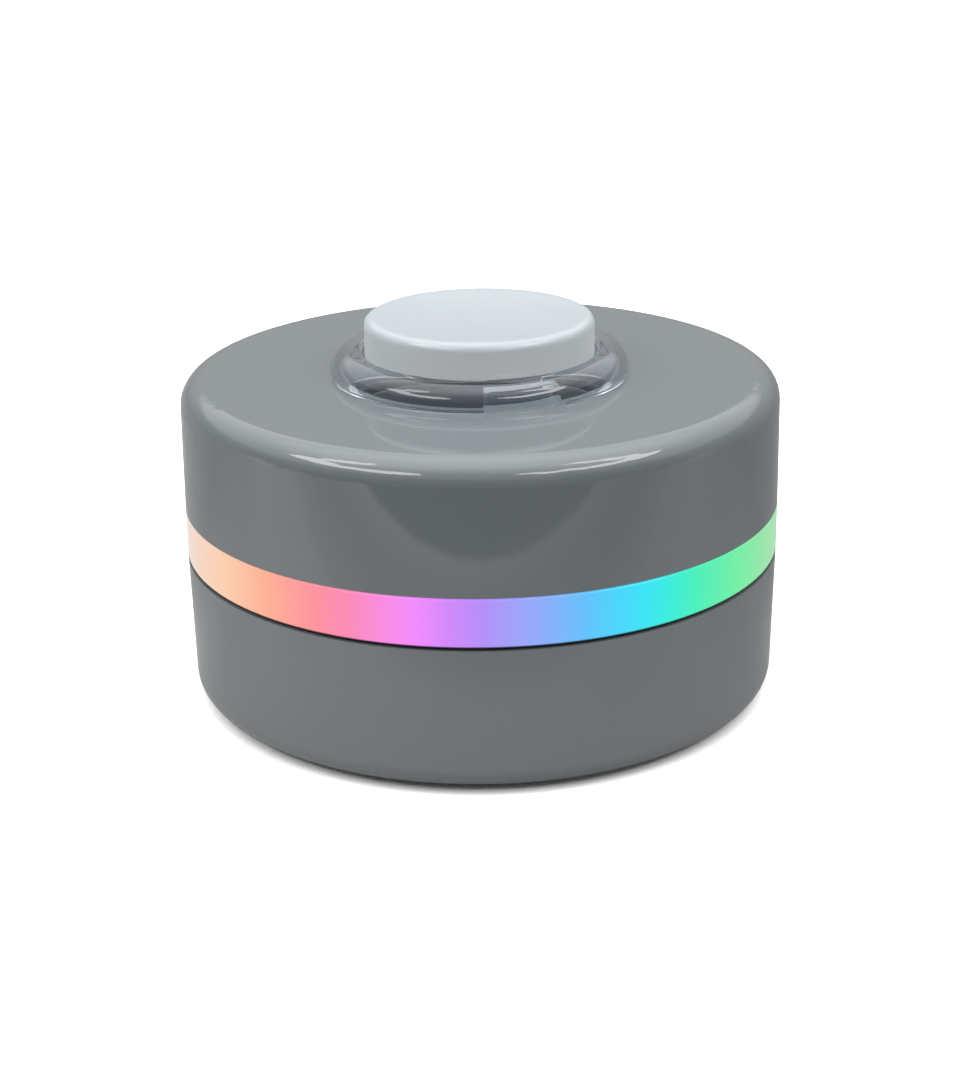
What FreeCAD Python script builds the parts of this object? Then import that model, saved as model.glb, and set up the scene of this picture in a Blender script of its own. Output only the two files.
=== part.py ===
"""Bluetooth audio receiver: a round puck with a light ring and one large push button.

The case stands on its rubber foot at height 0. The button's axis is the Z axis, the sockets face
+Y and the front of the puck faces -Y. All lengths are in millimetres, all angles in degrees.
"""
import FreeCAD, Part
import math
import os
import re

import Sketcher

os.makedirs("parts", exist_ok=True)
doc = FreeCAD.newDocument("bluetooth_receiver")

SIZES = {
    # Case
    "case_radius": 33.0,
    "case_bottom": 0.7,
    "case_narrowing": 0.33,
    "case_rim": 16.32,
    "case_inside": 30.8,
    "floor_top": 3.2,
    "ledge_radius": 28.0,
    "ledge_top": 15.0,
    "ledge_bottom": 13.2,
    "ledge_slope": 2.0,
    "case_rounding": 2.2,
    "cover_top": 36.0,
    "cover_ceiling": 33.5,
    "cover_narrowing": 0.13,
    "cover_rounding": 2.6,
    "overlap": 0.1,
    "cut_reach": 5.0,
    # Ribs inside the cover
    "rib_inside": 26.0,
    "rib_step": 29.1,
    "rib_step_height": 23.8,
    "rib_root": 31.2,
    "rib_shoulder": 32.0,
    "rib_thickness": 1.2,
    # Light ring
    "band_bottom": 16.6,
    "band_top": 22.0,
    "band_edge": 0.25,
    "skirt_outside": 30.7,
    "skirt_inside": 29.5,
    "skirt_top": 23.4,
    # Screws and the posts and bosses they pass through
    "screw_orbit": 21.5,
    "post_radius": 3.2,
    "boss_radius": 3.0,
    "screw_shaft": 1.1,
    "screw_hole": 1.25,
    "screw_length": 12.0,
    "screw_head": 2.0,
    "head_hole": 2.25,
    "head_seat": 3.5,
    "head_height": 1.4,
    "thread_hole": 1.13,
    "thread_depth": 8.0,
    "slot_length": 2.2,
    "slot_width": 0.5,
    "slot_depth": 0.9,
    # Rubber foot
    "foot_inside": 18.0,
    "foot_outside": 28.0,
    "foot_groove": 1.7,
    "foot_play": 0.1,
    "foot_rounding": 0.4,
    # Main board
    "board_bottom": 8.0,
    "board_top": 9.2,
    "board_radius": 27.5,
    "notch_inside": 24.0,
    "notch_outside": 29.0,
    "notch_half_width": 2.5,
    "smd_pitch": 2.2,
    "smd_length": 1.6,
    "smd_width": 0.8,
    "smd_height": 0.6,
    "header_height": 3.5,
    # Sockets
    "socket_face": 30.7,
    "recess_floor": 30.9,
    "recess_half_width": 11.0,
    "recess_bottom": 7.0,
    "recess_top": 14.4,
    "socket_wall": 28.4,
    "socket_wall_arc": 31.5,
    "bay_half_width": 13.0,
    "bay_back": 22.0,
    "bay_top": 14.5,
    "jack_across": -6.0,
    "jack_width": 6.4,
    "jack_height": 5.0,
    "jack_back": 16.0,
    "jack_front": 28.2,
    "jack_nose": 2.5,
    "jack_bore": 1.8,
    "jack_depth": 14.2,
    "lug_inset": 2.8,
    "lug_metal": 0.3,
    "lug_width": 1.4,
    "lug_height": 2.6,
    "usb_across": 6.5,
    "usb_half_width": 4.47,
    "usb_half_height": 1.63,
    "usb_metal": 0.3,
    "usb_back": 23.35,
    "usb_end_wall": 0.5,
    "usb_leg_pitch": 2.2,
    "usb_leg_length": 1.2,
    "usb_leg_metal": 0.28,
    "tongue_width": 6.7,
    "tongue_length": 5.4,
    "tongue_height": 0.7,
    "socket_play": 0.2,
    # Battery
    "cell_length": 30.0,
    "cell_width": 20.0,
    "cell_bottom": 3.7,
    "cell_height": 3.6,
    "pouch_rounding": 1.5,
    "pad_inset": 2.5,
    "lead_height": 6.3,
    "lead_rise": 25.6,
    "lead_plug": 22.0,
    "lead_plug_height": 11.2,
    "lead_spacing": 1.0,
    "cradle_play": 0.5,
    "cradle_wall": 1.0,
    "cradle_height": 2.3,
    # Light engine
    "reflector_inside": 24.9,
    "reflector_outside": 29.2,
    "ring_board_bottom": 17.4,
    "ring_board_top": 18.4,
    "ring_board_outside": 28.5,
    "ring_led_orbit": 27.4,
    "ring_led_height": 1.8,
    "reflector_top": 21.6,
    "reflector_wall": 1.0,
    "reflector_lid": 1.1,
    "ring_board_play": 0.1,
    "tab_reach": 25.9,
    "tab_inside": 22.0,
    "tab_half_width": 3.0,
    "ring_led_depth": 1.6,
    "ring_led_width": 3.0,
    "harness_start": -23.2,
    "harness_plug": -22.3,
    "harness_pitch": 1.8,
    "harness_bend_height": 15.8,
    "harness_turn_height": 14.2,
    # Push button
    "cover_hole": 14.1,
    "bezel_radius": 16.45,
    "bezel_top": 38.65,
    "bezel_bore": 12.9,
    "bezel_rounding": 2.3,
    "bezel_lip": 0.5,
    "module_thickness": 0.8,
    "shield_along": -16.3,
    "shield_length": 10.0,
    "shield_width": 9.5,
    "shield_height": 1.8,
    "can_radius": 2.5,
    "can_height": 5.4,
    "pocket_inside": 14.1,
    "pocket_outside": 15.3,
    "pocket_height": 1.7,
    "window_height": 1.3,
    "window_bottom": 22.3,
    "window_half_width": 2.2,
    "window_inside": 12.0,
    "window_outside": 15.0,
    "barrel_radius": 13.9,
    "barrel_end": 21.6,
    "stop_radius": 10.8,
    "stop_bottom": 26.5,
    "stop_top": 28.0,
    "nut_bottom": 30.9,
    "nut_flats": 33.0,
    "nut_play": 0.05,
    "cap_radius": 12.6,
    "cap_top": 42.2,
    "cap_skirt": 31.4,
    "cap_inside": 11.0,
    "cap_ceiling": 40.0,
    "cap_dish": 0.35,
    "dish_radius": 11.2,
    "cap_rim": 0.9,
    "cap_inner_rounding": 0.8,
    "plunger_radius": 10.95,
    "plunger_bottom": 32.0,
    "plunger_top": 34.0,
    "stem_radius": 2.5,
    "stem_tip": 18.8,
    "stem_end": 20.2,
    "tip_radius": 1.2,
    "tip_rounding": 0.9,
    "tip_length": 1.5,
    "lamp_orbit": 7.2,
    "light_hole": 1.7,
    "leg_inside": 9.2,
    "leg_outside": 10.2,
    "leg_half_width": 2.5,
    "hook_reach": 11.7,
    "hook_top": 26.4,
    "leg_end": 24.9,
    "base_bottom": 20.2,
    "base_top": 24.0,
    "base_radius": 12.7,
    "hook_window_inside": 8.9,
    "hook_window_outside": 12.95,
    "hook_window_half_width": 2.9,
    "base_lug_bottom": 22.45,
    "base_lug_height": 1.0,
    "base_lug_inside": 12.0,
    "base_lug_outside": 13.6,
    "base_lug_half_width": 2.0,
    "lamp_wire_across": 1.3,
    "lamp_wire_hole": 0.7,
    "lamp_wire_plug": -8.0,
    "lamp_wire_bend": 17.5,
    "lamp_wire_turn": 14.5,
    "stem_hole": 2.57,
    "spring_radius": 4.2,
    "spring_wire": 0.25,
    "spring_turns": 5,
    "spring_play": 0.02,
    "lamp_board_inside": 5.6,
    "lamp_board_outside": 8.7,
    "lamp_board_top": 25.0,
    "lamp_size": 1.6,
    "lamp_height": 1.0,
    # Key switch under the button
    "switch_left": -10.0,
    "switch_length": 12.8,
    "switch_width": 5.8,
    "switch_height": 6.5,
    "ear_inside": 2.0,
    "ear_outside": 2.8,
    "ear_length": 1.5,
    "ear_height": 1.5,
    "terminal_first": 1.5,
    "terminal_pitch": 4.9,
    "terminal_length": 0.5,
    "terminal_width": 0.9,
    "terminal_end": 0.3,
    "terminal_hole": 0.6,
    "pivot_across": -9.3,
    "pivot_height": 16.2,
    "pivot_radius": 0.4,
    "pivot_play": 0.06,
    "pivot_inset": 0.3,
    "lever_length": 11.8,
    "lever_width": 3.0,
    "lever_metal": 0.3,
    "lever_angle": 12.32,
    "pin_across": -5.7,
    "pin_top": 16.6,
    "pin_height": 3.1,
    "pin_length": 1.2,
    "pin_width": 2.4,
    "pin_play": 0.1,
    "pin_slot_depth": 3.1,
    # Wires
    "wire_radius": 0.45,
    "wire_bend": 1.5,
    "harness_bend": 1.0,
}

sheet = doc.addObject("Spreadsheet::Sheet", "dims")
for row, (size_name, size_value) in enumerate(SIZES.items(), start=1):
    sheet.set(f"A{row}", size_name)
    sheet.set(f"B{row}", str(size_value))
    sheet.setAlias(f"B{row}", size_name)
doc.recompute()

SUB_PARTS = []


# ---------------------------------------------------------------- expressions and bookkeeping

def number(expression):
    """Value of an expression written with the sheet's names."""
    return float(sheet.evalExpression(str(expression)))


def linked(expression):
    """The expression as any other object writes it: each size is led by the sheet's name."""
    def lead(word):
        return "dims." + word.group() if word.group() in SIZES else word.group()
    return re.sub(r"[a-z_]+", lead, str(expression))


def sub_part(thing, name):
    """Name a finished sub-part and list it for writing."""
    thing.Label = name
    SUB_PARTS.append(thing)
    return thing


def two_sides(near, far):
    """Lower and upper limit of a span on either side of the middle."""
    return [(f"-({far})", f"-({near})"), (near, far)]


def around(orbit, angle):
    """The two distances of a point on a circle about the button's axis."""
    return f"({orbit}) * cos({angle} deg)", f"({orbit}) * sin({angle} deg)"


# ---------------------------------------------------------------- sketches

def new_body(name):
    """Empty body."""
    return doc.addObject("PartDesign::Body", name)


def sketch(body, name, plane, height=0):
    """Empty sketch on one of the body's own planes, moved along the plane's normal."""
    drawing = body.newObject("Sketcher::SketchObject", name)
    base = next(face for face in body.Origin.OriginFeatures if face.Role == plane + "_Plane")
    drawing.AttachmentSupport = (base, [""])
    drawing.MapMode = "FlatFace"
    drawing.setExpression(".AttachmentOffset.Base.z", linked(height))
    return drawing


def hold(drawing, kind, places, expression):
    """Constraint of a sketch whose value follows the sheet."""
    index = drawing.addConstraint(Sketcher.Constraint(kind, *places, number(expression)))
    drawing.setExpression(f"Constraints[{index}]", linked(expression))


def hold_point(drawing, curve, end, across, up):
    """Place one point of a curve by its two distances from the sketch's origin."""
    hold(drawing, "DistanceX", (-1, 1, curve, end), across)
    hold(drawing, "DistanceY", (-1, 1, curve, end), up)


def outline(drawing, corners):
    """Closed outline of straight lines through the corners."""
    points = [FreeCAD.Vector(number(across), number(up), 0) for across, up in corners]
    first = drawing.GeometryCount
    for start, end in zip(points, points[1:] + points[:1]):
        drawing.addGeometry(Part.LineSegment(start, end))
    for place, (across, up) in enumerate(corners):
        line = first + place
        line_before = first + (place - 1) % len(corners)
        drawing.addConstraint(Sketcher.Constraint("Coincident", line_before, 2, line, 1))
        hold_point(drawing, line, 1, across, up)


def rectangle(drawing, left, right, bottom, top):
    """Upright rectangle between four limits."""
    outline(drawing, [(left, bottom), (right, bottom), (right, top), (left, top)])


def circle(drawing, across, up, radius):
    """Circle about a point."""
    centre = FreeCAD.Vector(number(across), number(up), 0)
    curve = drawing.addGeometry(Part.Circle(centre, FreeCAD.Vector(0, 0, 1), number(radius)))
    hold_point(drawing, curve, 3, across, up)
    hold(drawing, "Radius", (curve,), radius)


def long_hole(drawing, across, up, half_width, radius):
    """Outline with two straight sides and two half-round ends."""
    reach = f"({half_width}) - ({radius})"
    middle = FreeCAD.Vector(number(across), number(up), 0)
    offset = FreeCAD.Vector(number(reach), 0, 0)
    rise = FreeCAD.Vector(0, number(radius), 0)
    quarter, half = math.pi / 2, math.pi
    round_right = Part.Circle(middle + offset, FreeCAD.Vector(0, 0, 1), number(radius))
    round_left = Part.Circle(middle - offset, FreeCAD.Vector(0, 0, 1), number(radius))
    first = drawing.GeometryCount
    drawing.addGeometry(Part.ArcOfCircle(round_right, -quarter, quarter))
    drawing.addGeometry(Part.LineSegment(middle + offset + rise, middle - offset + rise))
    drawing.addGeometry(Part.ArcOfCircle(round_left, quarter, quarter + half))
    drawing.addGeometry(Part.LineSegment(middle - offset - rise, middle + offset - rise))
    for place in range(4):
        following = first + (place + 1) % 4
        drawing.addConstraint(Sketcher.Constraint("Tangent", first + place, 2, following, 1))
    hold_point(drawing, first, 3, f"({across}) + {reach}", up)
    hold_point(drawing, first + 2, 3, f"({across}) - ({reach})", up)
    hold(drawing, "Radius", (first,), radius)


def ring_sector(drawing, inner, outer, start, end):
    """Outline between two radii and two angles about the sketch's origin."""
    origin, normal = FreeCAD.Vector(0, 0, 0), FreeCAD.Vector(0, 0, 1)
    turns = [math.radians(number(angle)) for angle in (start, end)]
    corners = [[FreeCAD.Vector(number(radius) * math.cos(turn), number(radius) * math.sin(turn), 0)
                for turn in turns] for radius in (inner, outer)]
    first = drawing.GeometryCount
    for radius in (inner, outer):
        round_line = Part.Circle(origin, normal, number(radius))
        drawing.addGeometry(Part.ArcOfCircle(round_line, *turns))
    for inner_corner, outer_corner in zip(*corners):
        drawing.addGeometry(Part.LineSegment(inner_corner, outer_corner))
    for arc, radius in ((first, inner), (first + 1, outer)):
        drawing.addConstraint(Sketcher.Constraint("Coincident", arc, 3, -1, 1))
        hold(drawing, "Radius", (arc,), radius)
    for line, end_point in ((first + 2, 1), (first + 3, 2)):
        drawing.addConstraint(Sketcher.Constraint("Coincident", line, 1, first, end_point))
        drawing.addConstraint(Sketcher.Constraint("Coincident", line, 2, first + 1, end_point))
    for line, angle in ((first + 2, start), (first + 3, end)):
        hold(drawing, "DistanceX", (-1, 1, line, 2), f"{outer} * cos({angle} * 1 deg)")
        hold(drawing, "DistanceX", (-1, 1, line, 1), f"{inner} * cos({angle} * 1 deg)")


# ---------------------------------------------------------------- features of a body

def turned(body, name, corners):
    """Solid made by turning an outline of (radius, height) corners about the Z axis."""
    drawing = sketch(body, name + "_outline", "XZ")
    outline(drawing, corners)
    solid = body.newObject("PartDesign::Revolution", name)
    solid.Profile = drawing
    solid.ReferenceAxis = (drawing, ["V_Axis"])
    solid.Angle = 360
    doc.recompute()
    return solid


def raised(body, name, drawing, length, middle=False, back=False):
    """Pad of a sketch along its normal, against it, or to both sides."""
    pad = body.newObject("PartDesign::Pad", name)
    pad.Profile = drawing
    pad.Midplane = middle
    pad.Reversed = back
    pad.setExpression("Length", linked(length))
    doc.recompute()
    return pad


def sunk(body, name, drawing, length, middle=False, forward=False):
    """Pocket of a sketch against its normal, along it, or to both sides; it must remove something."""
    volume_before = body.Tip.Shape.Volume
    pocket = body.newObject("PartDesign::Pocket", name)
    pocket.Profile = drawing
    pocket.Midplane = middle
    pocket.Reversed = forward
    pocket.setExpression("Length", linked(length))
    doc.recompute()
    if pocket.Shape.Volume >= volume_before:
        raise ValueError(f"{name} of {body.Name} removes nothing")
    return pocket


def repeated(body, name, feature, drawing, count):
    """Copies of a feature at equal angles about the Z axis of the sketch's plane."""
    pattern = body.newObject("PartDesign::PolarPattern", name)
    pattern.Originals = [feature]
    pattern.Axis = (drawing, ["N_Axis"])
    pattern.Angle = 360
    pattern.Occurrences = count
    body.Tip = pattern
    doc.recompute()
    return pattern


def ring_edge(radius, height):
    """Test for the round edge of given radius at given height about the Z axis."""
    near = 0.02

    def matches(edge):
        if not hasattr(edge.Curve, "Radius"):
            return False
        centre = edge.Curve.Center
        centred = abs(centre.x) + abs(centre.y) < near
        right_size = abs(edge.Curve.Radius - number(radius)) < near
        return centred and right_size and abs(centre.z - number(height)) < near
    return matches


def edge_names(shape, chosen):
    """Names of the edges that pass the test; there must be at least one."""
    names = [f"Edge{place}" for place, edge in enumerate(shape.Edges, start=1) if chosen(edge)]
    if not names:
        raise ValueError("no edge matches")
    return names


def rounded(body, name, radius, chosen):
    """Fillet on the edges of the body that pass the test."""
    last = body.Tip
    fillet = body.newObject("PartDesign::Fillet", name)
    fillet.Base = (last, edge_names(last.Shape, chosen))
    fillet.setExpression("Radius", linked(radius))
    doc.recompute()
    return fillet


def bevelled(body, name, size, chosen):
    """Chamfer on the edges of the body that pass the test."""
    last = body.Tip
    chamfer = body.newObject("PartDesign::Chamfer", name)
    chamfer.Base = (last, edge_names(last.Shape, chosen))
    chamfer.setExpression("Size", linked(size))
    doc.recompute()
    return chamfer


# ---------------------------------------------------------------- simple solids and groups

def block(name, across, along, bottom, length, width, height):
    """Box given by the middle of its footprint and its bottom."""
    box = doc.addObject("Part::Box", name)
    box.setExpression("Length", linked(length))
    box.setExpression("Width", linked(width))
    box.setExpression("Height", linked(height))
    box.setExpression("Placement.Base.x", linked(f"({across}) - ({length}) / 2"))
    box.setExpression("Placement.Base.y", linked(f"({along}) - ({width}) / 2"))
    box.setExpression("Placement.Base.z", linked(bottom))
    return box


def block_on_ring(name, orbit, angle, bottom, depth, width, height):
    """Box set at an angle about the Z axis, its depth pointing away from the axis."""
    box = doc.addObject("Part::Box", name)
    box.setExpression("Length", linked(depth))
    box.setExpression("Width", linked(width))
    box.setExpression("Height", linked(height))
    box.Placement.Rotation = FreeCAD.Rotation(FreeCAD.Vector(0, 0, 1), angle)
    inner = f"({orbit}) - ({depth}) / 2"
    side = f"({width}) / 2"
    corner_x = f"({inner}) * cos({angle} deg) + ({side}) * sin({angle} deg)"
    corner_y = f"({inner}) * sin({angle} deg) - ({side}) * cos({angle} deg)"
    box.setExpression("Placement.Base.x", linked(corner_x))
    box.setExpression("Placement.Base.y", linked(corner_y))
    box.setExpression("Placement.Base.z", linked(bottom))
    return box


def rod(name, across, along, bottom, radius, height):
    """Upright cylinder."""
    cylinder = doc.addObject("Part::Cylinder", name)
    cylinder.setExpression("Radius", linked(radius))
    cylinder.setExpression("Height", linked(height))
    cylinder.setExpression("Placement.Base.x", linked(across))
    cylinder.setExpression("Placement.Base.y", linked(along))
    cylinder.setExpression("Placement.Base.z", linked(bottom))
    return cylinder


def fused(name, pieces):
    """One solid from several that overlap."""
    union = doc.addObject("Part::MultiFuse", name)
    union.Shapes = pieces
    return union


def cut_from(name, base, tool):
    """Base without the tool."""
    cut = doc.addObject("Part::Cut", name)
    cut.Base = base
    cut.Tool = tool
    return cut


def group(name, pieces):
    """Separate solids that make one sub-part."""
    compound = doc.addObject("Part::Compound", name)
    compound.Links = pieces
    return compound


def wire_solid(corners, bend, radius):
    """Round wire along straight runs joined by arcs of the given bend radius."""
    points = [FreeCAD.Vector(*[number(value) for value in corner]) for corner in corners]
    edges = []
    start = points[0]
    for before, corner, after in zip(points, points[1:], points[2:]):
        back = (before - corner).normalize()
        onward = (after - corner).normalize()
        bisector = (back + onward).normalize()
        tangent = bend * (1 + back.dot(onward)) / back.cross(onward).Length
        to_centre = bend / back.cross(bisector).Length
        first = corner + back * tangent
        middle = corner + bisector * (to_centre - bend)
        last = corner + onward * tangent
        edges.append(Part.makeLine(start, first))
        edges.append(Part.Arc(first, middle, last).toShape())
        start = last
    edges.append(Part.makeLine(start, points[-1]))
    section = Part.Wire([Part.makeCircle(radius, points[0], points[1] - points[0])])
    return Part.Wire(edges).makePipeShell([section], True, True)


def cable(name, paths, bend):
    """Sub-part of several wires, each along its own path."""
    wires = [wire_solid(path, number(bend), number("wire_radius")) for path in paths]
    bundle = doc.addObject("Part::Feature", name)
    bundle.Shape = Part.makeCompound(wires)
    bundle.Placement = FreeCAD.Placement()
    return sub_part(bundle, name)


SCREW_ANGLES = (45, 135, 225, 315)
TERMINAL_PLACES = [f"switch_left + terminal_first + {place} * terminal_pitch" for place in range(3)]
POCKET_FROM, POCKET_TO = -88.8, -57.5      # first and last angle of the flange pocket, -90 is the front
RIB_COUNT = 8
FILTER_CANS = (("near", -12.5, -7.5), ("far", -18, -6.5))       # name, across, along
RING_LED_COUNT = 12
BOARD_BLOCKS = [
    # (name, across, along, length, width, height) of the blocks standing on the main board
    ("bluetooth_module", 0, -18.5, 12, 15, "module_thickness"),
    ("audio_chip", -13.5, 8, 6, 6, 0.9),
    ("charger_chip", 13, 8, 4, 4, 0.8),
    ("crystal", 4.5, 9, 3.2, 2.5, 0.8),
    ("power_inductor", 11, -7.5, 5, 5, 2.5),
    ("battery_header", 19.5, 0, 5, 6, 4),
    ("led_header", -22.3, 0, 4, 7, "header_height"),
    ("button_header", 0, -8, 5, 3.6, "header_height"),
]
SMD_ROWS = [
    # (place of the first one across, place along, how many)
    (-2, 13.3, 6),
    (-16, 3.8, 3),
    (5.4, 4.4, 4),
    (8.2, -12.6, 2),
]


# ---------------------------------------------------------------- case

def make_lower_case():
    """Grey cup with the ledge for the light ring, posts, battery cradle and socket wall."""
    body = new_body("lower_case")
    turned(body, "cup", [
        ("0", "case_bottom"),
        ("case_radius - case_narrowing", "case_bottom"),
        ("case_radius", "case_rim"),
        ("case_inside", "case_rim"),
        ("case_inside", "ledge_top"),
        ("ledge_radius", "ledge_top"),
        ("ledge_radius", "ledge_bottom"),
        ("case_inside", "ledge_bottom - ledge_slope"),
        ("case_inside", "floor_top"),
        ("0", "floor_top"),
    ])
    bottom_edge = ring_edge("case_radius - case_narrowing", "case_bottom")
    rounded(body, "bottom_rounding", "case_rounding", bottom_edge)

    thick = sketch(body, "socket_wall_outline", "XY", "floor_top")
    half_chord = "sqrt(socket_wall_arc^2 - socket_wall^2)"
    ends = [FreeCAD.Vector(sign * number(half_chord), number("socket_wall"), 0) for sign in (-1, 1)]
    top = FreeCAD.Vector(0, number("socket_wall_arc"), 0)
    thick.addGeometry(Part.LineSegment(ends[0], ends[1]))
    thick.addGeometry(Part.Arc(ends[1], top, ends[0]))
    thick.addConstraint(Sketcher.Constraint("Coincident", 0, 2, 1, 1))
    thick.addConstraint(Sketcher.Constraint("Coincident", 1, 2, 0, 1))
    thick.addConstraint(Sketcher.Constraint("Coincident", 1, 3, -1, 1))
    thick.addConstraint(Sketcher.Constraint("Horizontal", 0))
    hold(thick, "Radius", (1,), "socket_wall_arc")
    hold(thick, "DistanceY", (-1, 1, 0, 1), "socket_wall")
    raised(body, "socket_wall_pad", thick, "ledge_top - floor_top")

    posts = sketch(body, "post_circles", "XY", "floor_top - overlap")
    for angle in SCREW_ANGLES:
        circle(posts, *around("screw_orbit", angle), "post_radius")
    raised(body, "posts", posts, "board_bottom - floor_top + overlap")
    holes = sketch(body, "screw_circles", "XY", "board_bottom")
    for angle in SCREW_ANGLES:
        circle(holes, *around("screw_orbit", angle), "screw_hole")
    sunk(body, "screw_holes", holes, "board_bottom")
    seats = sketch(body, "head_circles", "XY", "head_seat")
    for angle in SCREW_ANGLES:
        circle(seats, *around("screw_orbit", angle), "head_hole")
    sunk(body, "head_seats", seats, "head_seat")

    groove = sketch(body, "foot_groove_circles", "XY", "foot_groove")
    circle(groove, 0, 0, "foot_outside + foot_play")
    circle(groove, 0, 0, "foot_inside - foot_play")
    sunk(body, "foot_groove_cut", groove, "foot_groove")

    cradle = sketch(body, "cradle_outline", "XY", "floor_top - overlap")
    half_length = "cell_length / 2 + cradle_play"
    half_width = "cell_width / 2 + cradle_play"
    rectangle(cradle, f"-({half_length})", half_length, f"-({half_width})", half_width)
    outer_length = f"{half_length} + cradle_wall"
    outer_width = f"{half_width} + cradle_wall"
    rectangle(cradle, f"-({outer_length})", outer_length, f"-({outer_width})", outer_width)
    raised(body, "cradle", cradle, "cradle_height + overlap")

    bay = sketch(body, "bay_outline", "XY", "bay_top")
    rectangle(bay, "-bay_half_width", "bay_half_width", "bay_back", "socket_wall")
    sunk(body, "socket_bay", bay, "bay_top - floor_top")

    recess = sketch(body, "recess_outline", "XZ", "-recess_floor")
    rectangle(recess, "-recess_half_width", "recess_half_width", "recess_bottom", "recess_top")
    sunk(body, "socket_recess", recess, "cut_reach")

    jack_middle = "board_top + jack_height / 2"
    jack_hole = sketch(body, "jack_hole_circle", "XZ", "-recess_floor - 1")
    circle(jack_hole, "jack_across", jack_middle, "jack_nose + socket_play")
    sunk(body, "jack_hole", jack_hole, "cut_reach", forward=True)
    usb_hole = sketch(body, "usb_hole_outline", "XZ", "-recess_floor - 1")
    usb_middle = "board_top + usb_half_height"
    half_wide = "usb_half_width + socket_play"
    long_hole(usb_hole, "usb_across", usb_middle, half_wide, "usb_half_height + socket_play")
    sunk(body, "usb_hole", usb_hole, "cut_reach", forward=True)
    sub_part(body, "lower_case")


def make_upper_cover():
    """Grey cover with the button's hole, four screw bosses and eight ribs over the light ring."""
    body = new_body("upper_cover")
    turned(body, "cup", [
        ("cover_hole", "cover_top"),
        ("case_radius - cover_narrowing", "cover_top"),
        ("case_radius", "band_top"),
        ("case_inside", "band_top"),
        ("case_inside", "cover_ceiling"),
        ("cover_hole", "cover_ceiling"),
    ])
    top_edge = ring_edge("case_radius - cover_narrowing", "cover_top")
    rounded(body, "top_rounding", "cover_rounding", top_edge)
    rounded(body, "inner_rounding", "cover_rounding / 2", ring_edge("case_inside", "cover_ceiling"))

    bosses = sketch(body, "boss_circles", "XY", "board_top")
    for angle in SCREW_ANGLES:
        circle(bosses, *around("screw_orbit", angle), "boss_radius")
    raised(body, "bosses", bosses, "cover_ceiling - board_top + overlap")
    holes = sketch(body, "thread_circles", "XY", "board_top")
    for angle in SCREW_ANGLES:
        circle(holes, *around("screw_orbit", angle), "thread_hole")
    sunk(body, "thread_holes", holes, "thread_depth", forward=True)

    rib = sketch(body, "rib_outline", "XZ")
    outline(rib, [
        ("rib_inside", "reflector_top"),
        ("rib_step", "reflector_top"),
        ("rib_step", "rib_step_height"),
        ("rib_root", "rib_step_height"),
        ("rib_root", "rib_shoulder"),
        ("rib_inside", "cover_ceiling + overlap"),
    ])
    one_rib = raised(body, "rib", rib, "rib_thickness", middle=True)
    repeated(body, "ribs", one_rib, bosses, RIB_COUNT)
    sub_part(body, "upper_cover")


def make_light_ring():
    """Translucent ring: a visible band and a skirt that centres both halves of the case."""
    body = new_body("light_ring")
    turned(body, "band", [
        ("case_radius", "band_bottom"),
        ("case_radius", "band_top"),
        ("skirt_outside", "band_top"),
        ("skirt_outside", "skirt_top"),
        ("skirt_inside", "skirt_top"),
        ("skirt_inside", "ledge_top"),
        ("skirt_outside", "ledge_top"),
        ("skirt_outside", "band_bottom"),
    ])
    bevelled(body, "lower_edge", "band_edge", ring_edge("case_radius", "band_bottom"))
    bevelled(body, "upper_edge", "band_edge", ring_edge("case_radius", "band_top"))
    sub_part(body, "light_ring")


def make_foot_ring():
    """Rubber ring pressed into the groove under the case."""
    body = new_body("foot_ring")
    turned(body, "ring", [
        ("foot_inside", 0),
        ("foot_outside", 0),
        ("foot_outside", "foot_groove"),
        ("foot_inside", "foot_groove"),
    ])
    rounded(body, "outer_rounding", "foot_rounding", ring_edge("foot_outside", 0))
    rounded(body, "inner_rounding", "foot_rounding", ring_edge("foot_inside", 0))
    sub_part(body, "foot_ring")


def make_case_screws():
    """Four cross-head screws that clamp the board between post and boss."""
    screws = []
    for angle in SCREW_ANGLES:
        across, along = around("screw_orbit", angle)
        head = rod(f"screw_head_{angle}", across, along, "head_seat - head_height",
                   "screw_head", "head_height")
        shaft = rod(f"screw_shaft_{angle}", across, along, "head_seat - overlap",
                    "screw_shaft", "screw_length")
        whole = fused(f"screw_blank_{angle}", [head, shaft])
        slot_bottom = "head_seat - head_height - overlap"
        slots = fused(f"screw_cross_{angle}", [
            block(f"screw_slot_x_{angle}", across, along, slot_bottom,
                  "slot_length", "slot_width", "slot_depth"),
            block(f"screw_slot_y_{angle}", across, along, slot_bottom,
                  "slot_width", "slot_length", "slot_depth"),
        ])
        screws.append(cut_from(f"screw_{angle}", whole, slots))
    sub_part(group("case_screws", screws), "case_screws")


# ---------------------------------------------------------------- electronics on the main board

def make_main_board():
    """Round board with screw holes, a notch for the battery's wires and the switch's pin holes."""
    body = new_body("main_board")
    disc = sketch(body, "board_circle", "XY", "board_bottom")
    circle(disc, 0, 0, "board_radius")
    raised(body, "disc", disc, "board_top - board_bottom")
    holes = sketch(body, "board_holes", "XY", "board_top")
    for angle in SCREW_ANGLES:
        circle(holes, *around("screw_orbit", angle), "screw_hole")
    for place in TERMINAL_PLACES:
        circle(holes, place, 0, "terminal_hole")
    sunk(body, "hole_cuts", holes, "cut_reach")
    notch = sketch(body, "wire_notch", "XY", "board_top")
    rectangle(notch, "notch_inside", "notch_outside", "-notch_half_width", "notch_half_width")
    sunk(body, "notch_cut", notch, "cut_reach")
    sub_part(body, "main_board")


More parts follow.
